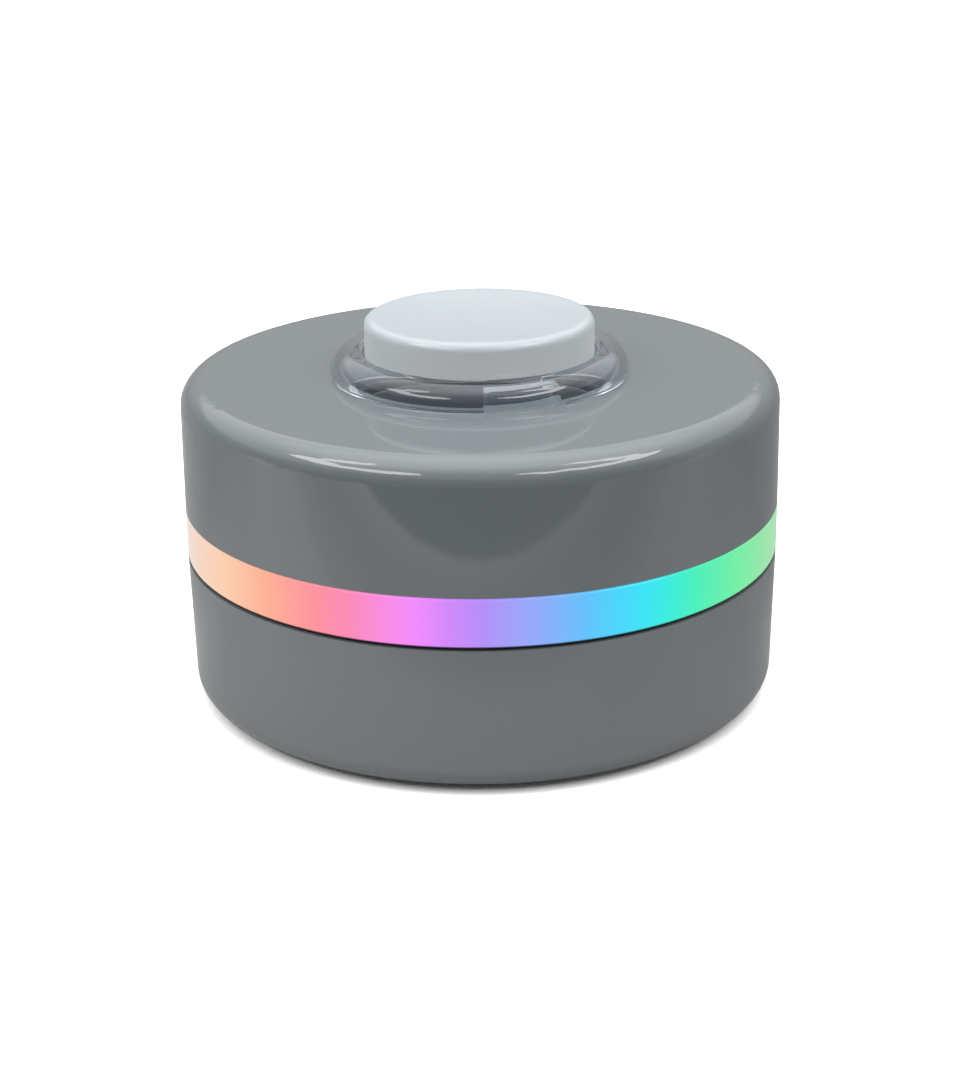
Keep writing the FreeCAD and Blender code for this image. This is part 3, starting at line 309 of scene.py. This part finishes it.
def cap_material():
    """Milky translucent cap with a faint cool tint and a painted glow; its skirt, down inside the collar,
    gets painted shade and a dimmer painted glow.
    """
    material, tree, shader = new_material("milky_plastic")
    mottle = link_noise(tree, 70.0)
    place = link_place(tree)
    above = link_rise(tree, place["Z"], SKIRT_DARK_TO, SKIRT_LIGHT_FROM)
    milk = link_mix(tree, mottle, (0.176, 0.216, 0.238), (0.192, 0.232, 0.254))
    # Painted shade: the skirt's colour is nearly black below the collar's rim.
    tree.links.new(link_mix(tree, above, SKIRT_PAINTED_SHADE, milk), shader.inputs["Base Color"])
    link_roughness(tree, shader, mottle, 0.16, 0.22)
    shader.inputs["Subsurface Weight"].default_value = 1.0
    # Painted glow over the whole cap, dimmer and cooler on the skirt.
    glow = link_mix(tree, above, SKIRT_PAINTED_GLOW, (1.0, 0.96, 0.94))
    tree.links.new(glow, shader.inputs["Emission Color"])
    shader.inputs["Emission Strength"].default_value = CAP_PAINTED_GLOW
    shader.inputs["Subsurface Radius"].default_value = CAP_SCATTER
    shader.inputs["Subsurface Scale"].default_value = 1.0
    link_bump(tree, shader, mottle, 0.04, RIPPLE_DEPTH)
    return material


def steel_material(name):
    """Bright plain steel."""
    return plain(name, (0.5, 0.5, 0.51), (0.6, 0.6, 0.61), 0.28, metallic=1.0)


LAMP_GLOW = 0.4


def lamp_material(name, colour):
    """Small lamp with a milky lens."""
    material, tree, shader = new_material(name)
    mottle = link_noise(tree, FINE_GRAIN)
    tint = link_mix(tree, mottle, [value * 0.85 for value in colour], colour)
    tree.links.new(tint, shader.inputs["Base Color"])
    tree.links.new(tint, shader.inputs["Emission Color"])
    shader.inputs["Emission Strength"].default_value = LAMP_GLOW
    link_roughness(tree, shader, mottle, 0.2, 0.3)
    return material


# ---------------------------------------------------------------- meshes

def smooth_flats(piece):
    """Smooth roundings next to flats that stay flat: large faces lead the shading normals."""
    piece.data.shade_smooth()
    piece.data.set_sharp_from_angle(angle=math.radians(SMOOTHING_ANGLE))
    weighted = piece.modifiers.new("even_shading", "WEIGHTED_NORMAL")
    weighted.mode = "FACE_AREA"
    weighted.weight = 100
    weighted.keep_sharp = True


def add_mesh(name, mesh_builder):
    """Object from a bmesh, smooth except at sharp edges."""
    mesh = bpy.data.meshes.new(name)
    mesh_builder.normal_update()
    mesh_builder.to_mesh(mesh)
    mesh_builder.free()
    piece = bpy.data.objects.new(name, mesh)
    bpy.context.scene.collection.objects.link(piece)
    smooth_flats(piece)
    return piece


def arc(centre_across, centre_up, radius, start, end, steps=8):
    """Points of an arc in a (radius, height) outline; angles in degrees."""
    points = []
    for step in range(steps + 1):
        angle = math.radians(start + (end - start) * step / steps)
        points.append((centre_across + radius * math.cos(angle), centre_up + radius * math.sin(angle)))
    return points


def round_axis(across, turn, up):
    """Point at a radius, an angle and a height about the Z axis, from mm."""
    return across * MM * math.cos(turn), across * MM * math.sin(turn), up * MM


def lathe(name, outline):
    """Closed outline of (radius, height) in mm turned about the Z axis."""
    work = bmesh.new()
    rings = []
    for across, up in outline:
        corners = 1 if across == 0 else STEPS_ROUND
        rings.append([work.verts.new(round_axis(across, FULL_TURN * step / corners, up))
                      for step in range(corners)])
    for lower, upper in zip(rings, rings[1:] + rings[:1]):
        if len(lower) == 1 and len(upper) == 1:
            continue
        for step in range(STEPS_ROUND):
            following = (step + 1) % STEPS_ROUND
            if len(lower) == 1:
                work.faces.new([lower[0], upper[following], upper[step]])
            elif len(upper) == 1:
                work.faces.new([lower[step], lower[following], upper[0]])
            else:
                work.faces.new([lower[step], lower[following], upper[following], upper[step]])
    bmesh.ops.recalc_face_normals(work, faces=work.faces)
    return add_mesh(name, work)


def bar_along(name, work, rings):
    """Solid through rings of corners, with a face over each end."""
    for here, there in zip(rings, rings[1:]):
        for side, corner in enumerate(here):
            following = (side + 1) % len(here)
            work.faces.new([corner, here[following], there[following], there[side]])
    work.faces.new(rings[0])
    work.faces.new(rings[-1])
    bmesh.ops.recalc_face_normals(work, faces=work.faces)
    return add_mesh(name, work)


def ring_block(name, inner, outer, bottom, top, start, end, steps=12):
    """Block between two radii, two heights and two angles about the Z axis."""
    work = bmesh.new()
    rings = []
    for step in range(steps + 1):
        turn = math.radians(start + (end - start) * step / steps)
        corners = ((inner, bottom), (outer, bottom), (outer, top), (inner, top))
        rings.append([work.verts.new(round_axis(across, turn, up)) for across, up in corners])
    return bar_along(name, work, rings)


def finish_piece(piece, body, nodes, material):
    """Hand a replacement piece to the frame and give it its material."""
    piece.data.materials.append(material)
    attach(piece, body)
    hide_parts(*nodes)
    return piece


# ---------------------------------------------------------------- visible pieces

def cut_pocket(collar):
    """Pocket under the front of the collar's flange."""
    tool = ring_block("pocket_tool", POCKET_INSIDE, POCKET_OUTSIDE, FLANGE_SEAT - 1,
                      FLANGE_SEAT + POCKET_HEIGHT, POCKET_FROM, POCKET_TO)
    cut = collar.modifiers.new("pocket", "BOOLEAN")
    cut.operation = "DIFFERENCE"
    cut.solver = "EXACT"
    cut.object = tool
    shape = collar.evaluated_get(bpy.context.evaluated_depsgraph_get())
    collar.data = bpy.data.meshes.new_from_object(shape)
    collar.modifiers.clear()
    bpy.data.objects.remove(tool)
    smooth_flats(collar)


def make_button_bezel(material):
    """Clear collar with a domed flange."""
    stop_radius, stop_bottom, stop_top = 10.8, 26.5, 28.0
    inner_rounding = 0.5
    outline = [(BEZEL_BORE, BARREL_END), (BARREL_RADIUS, BARREL_END)]
    outline += [(BARREL_RADIUS, FLANGE_SEAT), (BEZEL_RADIUS, FLANGE_SEAT)]
    outline += arc(BEZEL_RADIUS - BEZEL_ROUNDING, BEZEL_TOP - BEZEL_ROUNDING, BEZEL_ROUNDING,
                   0, 90, steps=16)
    outline += arc(BEZEL_BORE + inner_rounding, BEZEL_TOP - inner_rounding, inner_rounding,
                   90, 180, steps=6)
    outline += [(BEZEL_BORE, stop_top), (stop_radius, stop_top)]
    outline += [(stop_radius, stop_bottom), (BEZEL_BORE, stop_bottom)]
    piece = lathe("collar", outline)
    cut_pocket(piece)
    piece.visible_shadow = False
    piece.visible_diffuse = False
    finish_piece(piece, "housing", ["button_bezel"], material)


def make_button_cap(material):
    """Milky cap with a soft rim and a slight dish in its top."""
    ball = (DISH_RADIUS ** 2 + CAP_DISH ** 2) / (2 * CAP_DISH)
    dish = []
    for step in range(DISH_STEPS + 1):
        across = DISH_RADIUS * (1 - step / DISH_STEPS)
        sag = ball - math.sqrt(ball ** 2 - across ** 2)
        dish.append((across, CAP_TOP - CAP_DISH + sag))
    outline = [(CAP_INSIDE, CAP_CEILING), (CAP_INSIDE, CAP_SKIRT), (CAP_RADIUS, CAP_SKIRT)]
    outline += arc(CAP_RADIUS - CAP_ROUNDING, CAP_TOP - CAP_ROUNDING, CAP_ROUNDING, 0, 90, steps=10)
    outline += dish
    outline += [(0, CAP_CEILING)]
    piece = lathe("cap", outline)
    finish_piece(piece, "button", ["button_cap"], material)


def make_return_spring(material):
    """Coil spring between the button's base and its plunger, at its rest length; the mesh does not
    squeeze as the button goes down.
    """
    steps = STEPS_PER_COIL * SPRING_TURNS
    low = SPRING_SEAT + SPRING_WIRE + SPRING_PLAY
    high = PLUNGER_BOTTOM - SPRING_WIRE - SPRING_PLAY
    work = bmesh.new()
    rings = []
    for step in range(steps + 1):
        turn = FULL_TURN * SPRING_TURNS * step / steps
        middle = low + (high - low) * step / steps
        ring = []
        for side in range(WIRE_SIDES):
            round_wire = FULL_TURN * side / WIRE_SIDES
            reach = SPRING_RADIUS + SPRING_WIRE * math.cos(round_wire)
            up = middle + SPRING_WIRE * math.sin(round_wire)
            ring.append(work.verts.new(round_axis(reach, turn, up)))
        rings.append(ring)
    coil = bar_along("spring", work, rings)
    piece = finish_piece(coil, "housing", ["return_spring"], material)
    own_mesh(piece)


# ---------------------------------------------------------------- materials of the CAD nodes

def paint_nodes():
    """Give every carried-over CAD node its material."""
    shared = [
        (shell_material(), "upper_cover lower_case"),
        (ring_material(), "light_ring"),
        (plain("black_rubber", (0.02, 0.02, 0.02), (0.03, 0.03, 0.03), 0.7, relief=0.3), "foot_ring"),
        (steel_material("plain_steel"),
         "case_screws usb_shell shield_can switch_lever filter_capacitors crystal"),
        (plain("gold_plate", (0.78, 0.55, 0.22), (0.85, 0.64, 0.3), 0.25, metallic=1.0),
         "jack_contacts switch_terminals"),
        (plain("green_board", (0.01, 0.12, 0.05), (0.015, 0.17, 0.08), 0.35),
         "main_board bluetooth_module led_board button_led_board"),
        (plain("black_plastic", (0.015, 0.015, 0.016), (0.025, 0.025, 0.026), 0.4),
         "audio_chip charger_chip power_inductor audio_jack usb_tongue switch_body smd_parts "
         "battery_pad"),
        (plain("white_plastic", (0.78, 0.78, 0.76), (0.84, 0.84, 0.82), 0.4),
         "battery_header led_header button_header lower_reflector upper_reflector button_plunger "
         "button_base bezel_nut"),
        (plain("foil_pouch", (0.55, 0.56, 0.58), (0.68, 0.69, 0.71), 0.3, metallic=0.9, relief=0.2),
         "battery_cell"),
        (plain("red_wire", (0.45, 0.02, 0.02), (0.55, 0.03, 0.03), 0.4),
         "battery_leads led_harness button_harness"),
        (plain("red_plastic", (0.5, 0.03, 0.02), (0.6, 0.05, 0.03), 0.35), "switch_pin"),
        (lamp_material("ring_lamp", (0.9, 0.9, 1.0)), "rgb_leds"),
        (lamp_material("button_lamp", (0.95, 0.97, 1.0)), "button_leds"),
    ]
    paints = {name: material for material, names in shared for name in names.split()}
    for name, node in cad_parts.items():
        if name in paints:
            node.data.materials.clear()
            node.data.materials.append(paints[name])
            smooth_flats(node)


# ---------------------------------------------------------------- floor, light and camera

WHITE_SHEET = [(0.0, 0.94), (1.0, 0.94)]
# Painted shade: a dark sheet, seen only in reflections and bounced light, that darkens the puck's
# reflections beyond the grey sheet's front edge.
DARK_SHADE_SHEET = [(0.0, 0.03), (1.0, 0.03)]
# Painted light and shade on the grey sheet that the puck reflects and is lit by: brighter close in front
# of the puck where its own shadow falls, a bright band at the front edge and a darker band behind it.
GREY_SHEET = [
    # (distance behind the puck's axis in mm, shade)
    (-106, 0.46),
    (-90, 0.30),
    (-77, 0.27),
    (-66, 0.36),
    (-53, 0.52),
    (-30, 0.50),
    (0, 0.32),
    (30, 0.20),
]
RIGHT_SHARE = 0.62          # painted shade: brightness of the grey sheet's right end compared with its left end
FADE_FROM, FADE_TO = -20, 70                # the sheet's painted shade deepens between, along X in mm
SHEET_EDGE = -106.0         # front edge of the grey sheet along Y in mm; the dark sheet of painted shade shows beyond it
FAR_EDGE = -4000            # front edge of the white sheet and the dark sheet along Y in mm
SHEET_SIZE = 8              # metres
GREY_DEPTH, SHADE_SHEET_DEPTH = -0.0002, -0.0004  # just under the white sheet, in metres


def sheet_material(name, shades, right_share):
    """Matt grey with a fine grain and painted light and shade: its grey changes from in front of the puck
    to behind it and dims towards +X.
    """
    material, tree, shader = new_material(name)
    first, last = shades[0][0], shades[-1][0]
    change = link_rise(tree, link_place(tree)["Y"], first, last)
    stops = [((along - first) / (last - first), (shade,) * 3) for along, shade in shades]
    grey = link_ramp(tree, change, stops, interpolation="EASE")
    across = link_rise(tree, link_place(tree)["X"], FADE_FROM, FADE_TO)
    fade = link_mix(tree, across, (1.0,) * 3, (right_share,) * 3)
    shaded = tree.nodes.new("ShaderNodeMix")
    shaded.data_type = "RGBA"
    shaded.blend_type = "MULTIPLY"
    shaded.inputs["Factor"].default_value = 1.0
    tree.links.new(grey, shaded.inputs["A"])
    tree.links.new(fade, shaded.inputs["B"])
    tree.links.new(shaded.outputs["Result"], shader.inputs["Base Color"])
    grain = link_noise(tree, FINE_GRAIN)
    link_roughness(tree, shader, grain, 0.75, 0.85)
    shader.inputs["Specular IOR Level"].default_value = 0.1
    return material


def add_sheet(name, front_edge, height, shades, right_share=1.0):
    """Flat plain sheet lying on or just under the ground, its front edge given along Y in mm."""
    bpy.ops.mesh.primitive_plane_add(size=SHEET_SIZE, location=(0, 0, height))
    sheet = bpy.context.object
    for corner in sheet.data.vertices:
        corner.co.y += front_edge * MM + SHEET_SIZE / 2
    sheet.name = name
    sheet.data.materials.append(sheet_material(name + "_surface", shades, right_share))
    return sheet


def make_floor():
    """White sheet that only the camera sees; the puck reflects a grey sheet of painted light and shade
    and a dark sheet of painted shade instead.
    """
    white = add_sheet("floor", FAR_EDGE, 0, WHITE_SHEET)
    white.visible_glossy = False
    white.visible_diffuse = False
    white.visible_shadow = False
    grey = add_sheet("grey_sheet", SHEET_EDGE, GREY_DEPTH, GREY_SHEET, RIGHT_SHARE)
    shade_sheet = add_sheet("dark_shade_sheet", FAR_EDGE, SHADE_SHEET_DEPTH, DARK_SHADE_SHEET)
    for hidden in (grey, shade_sheet):
        hidden.visible_camera = False
        hidden.visible_transmission = False


SKY_STOPS = [
    # (height of the direction's unit vector, brightness) from the horizon to straight up
    (0.0, 0.32),
    (0.31, 0.45),
    (0.39, 1.25),
    (0.64, 1.6),
    (0.87, 3.1),
    (1.0, 3.5),
]
SKY_FRONT_SHARE = 0.45      # brightness of the sky behind the camera compared with the rest
SKY_FRONT_FROM, SKY_FRONT_TO = -0.85, -0.1  # it changes between, along Y of the direction


def make_world():
    """White surroundings, much brighter overhead and dimmer low down behind the camera."""
    world = bpy.data.worlds.new("studio")
    world.use_nodes = True
    tree = world.node_tree
    background = tree.nodes["Background"]
    background.inputs["Color"].default_value = (1, 1, 1, 1)
    place = tree.nodes.new("ShaderNodeTexCoord")
    split = tree.nodes.new("ShaderNodeSeparateXYZ")
    tree.links.new(place.outputs["Generated"], split.inputs["Vector"])
    brightest = max(level for _, level in SKY_STOPS)
    stops = [(height, (level / brightest,) * 3) for height, level in SKY_STOPS]
    rise = link_ramp(tree, split.outputs["Z"], stops)
    front = tree.nodes.new("ShaderNodeMapRange")
    front.interpolation_type = "SMOOTHSTEP"
    front.inputs["From Min"].default_value = SKY_FRONT_FROM
    front.inputs["From Max"].default_value = SKY_FRONT_TO
    front.inputs["To Min"].default_value = SKY_FRONT_SHARE * brightest
    front.inputs["To Max"].default_value = brightest
    tree.links.new(split.outputs["Y"], front.inputs["Value"])
    product = tree.nodes.new("ShaderNodeMath")
    product.operation = "MULTIPLY"
    tree.links.new(rise, product.inputs[0])
    tree.links.new(front.outputs["Result"], product.inputs[1])
    tree.links.new(product.outputs["Value"], background.inputs["Strength"])
    bpy.context.scene.world = world


STRIP_BRIGHTNESS = 9.0
STRIP_DISTANCE = 0.9        # metres from the middle of the ground under the puck
STRIPS = {
    # lower and upper edge of each strip as (azimuth from the front, elevation) in degrees
    "right_low_strip": [((14, 39), (15, 42)), ((28, 36), (31, 44)), ((38, 36), (41, 45)),
                        ((48, 37), (52, 46)), ((58, 38), (64, 47)), ((67, 38), (82, 51)),
                        ((81, 42), (89, 47))],
    "right_high_strip": [((50, 63), (52, 65)), ((54, 60), (62, 65)), ((62, 57), (72, 62)),
                         ((68, 51), (81, 58)), ((76, 48), (86, 53))],
    "left_low_strip": [((-24, 37), (-25, 41)), ((-28, 34), (-31, 44)), ((-37, 33), (-41, 43)),
                       ((-46, 33), (-50, 42)), ((-56, 33), (-60, 41)), ((-65, 33), (-78, 49)),
                       ((-77, 36), (-86, 45)), ((-86, 38), (-88, 40))],
    "left_high_strip": [((-60, 60), (-68, 64)), ((-60, 55), (-72, 62)), ((-68, 51), (-81, 58)),
                        ((-76, 48), (-84, 52))],
}


def toward(azimuth, elevation):
    """Unit vector in a direction given from the front, in degrees."""
    turn, rise = math.radians(azimuth), math.radians(elevation)
    return Vector((math.sin(turn) * math.cos(rise), -math.cos(turn) * math.cos(rise), math.sin(rise)))


def strip_material(name):
    """Even white glow."""
    material = bpy.data.materials.new(name)
    material.use_nodes = True
    tree = material.node_tree
    tree.nodes.clear()
    output = tree.nodes.new("ShaderNodeOutputMaterial")
    emission = tree.nodes.new("ShaderNodeEmission")
    emission.inputs["Strength"].default_value = STRIP_BRIGHTNESS
    tree.links.new(emission.outputs["Emission"], output.inputs["Surface"])
    return material


def add_glow_strip(name, stations):
    """Curved strip light round the object through pairs of edge directions."""
    work = bmesh.new()
    pairs = [[work.verts.new(toward(*edge) * STRIP_DISTANCE) for edge in pair] for pair in stations]
    for here, there in zip(pairs, pairs[1:]):
        work.faces.new([here[0], here[1], there[1], there[0]])
    mesh = bpy.data.meshes.new(name)
    work.to_mesh(mesh)
    work.free()
    strip = bpy.data.objects.new(name, mesh)
    bpy.context.scene.collection.objects.link(strip)
    mesh.materials.append(strip_material(name))


def make_lights():
    """Strip lights at the front, left and right of the camera, with a gap between them."""
    for name, stations in STRIPS.items():
        add_glow_strip(name, stations)


BODY_RADIUS = 0.033         # metres
CAMERA_DISTANCE = 7.6489 * BODY_RADIUS
CAMERA_ELEVATION = 20.159   # degrees above the point that it circles
CAMERA_CENTRE = 0.0007 + 0.5 * BODY_RADIUS  # height of that point
CAMERA_YAW, CAMERA_PITCH, CAMERA_ROLL = 0.053, 20.330, -0.763       # degrees; pitch is downwards
CAMERA_LENS, CAMERA_SENSOR = 74.98, 36      # mm
CAMERA_NEAREST = 0.01       # metres


def make_camera():
    """Camera in front of the puck and a little above it."""
    camera = bpy.data.objects.new("camera", bpy.data.cameras.new("camera"))
    camera.data.lens = CAMERA_LENS
    camera.data.sensor_width = CAMERA_SENSOR
    camera.data.clip_start = CAMERA_NEAREST
    elevation = math.radians(CAMERA_ELEVATION)
    away, up = CAMERA_DISTANCE * math.cos(elevation), CAMERA_DISTANCE * math.sin(elevation)
    place = Matrix.Translation((0, -away, CAMERA_CENTRE + up))
    yaw = Matrix.Rotation(math.radians(CAMERA_YAW), 4, "Z")
    pitch = Matrix.Rotation(math.radians(90 - CAMERA_PITCH), 4, "X")
    roll = Matrix.Rotation(math.radians(CAMERA_ROLL), 4, "Z")
    camera.matrix_world = place @ yaw @ pitch @ roll
    bpy.context.scene.collection.objects.link(camera)
    bpy.context.scene.camera = camera


bpy.context.scene.view_settings.view_transform = "Standard"
paint_nodes()
make_button_bezel(clear_material())
make_button_cap(cap_material())
make_return_spring(steel_material("spring_steel"))
make_floor()
make_world()
make_lights()
make_camera()

bpy.context.view_layer.update()
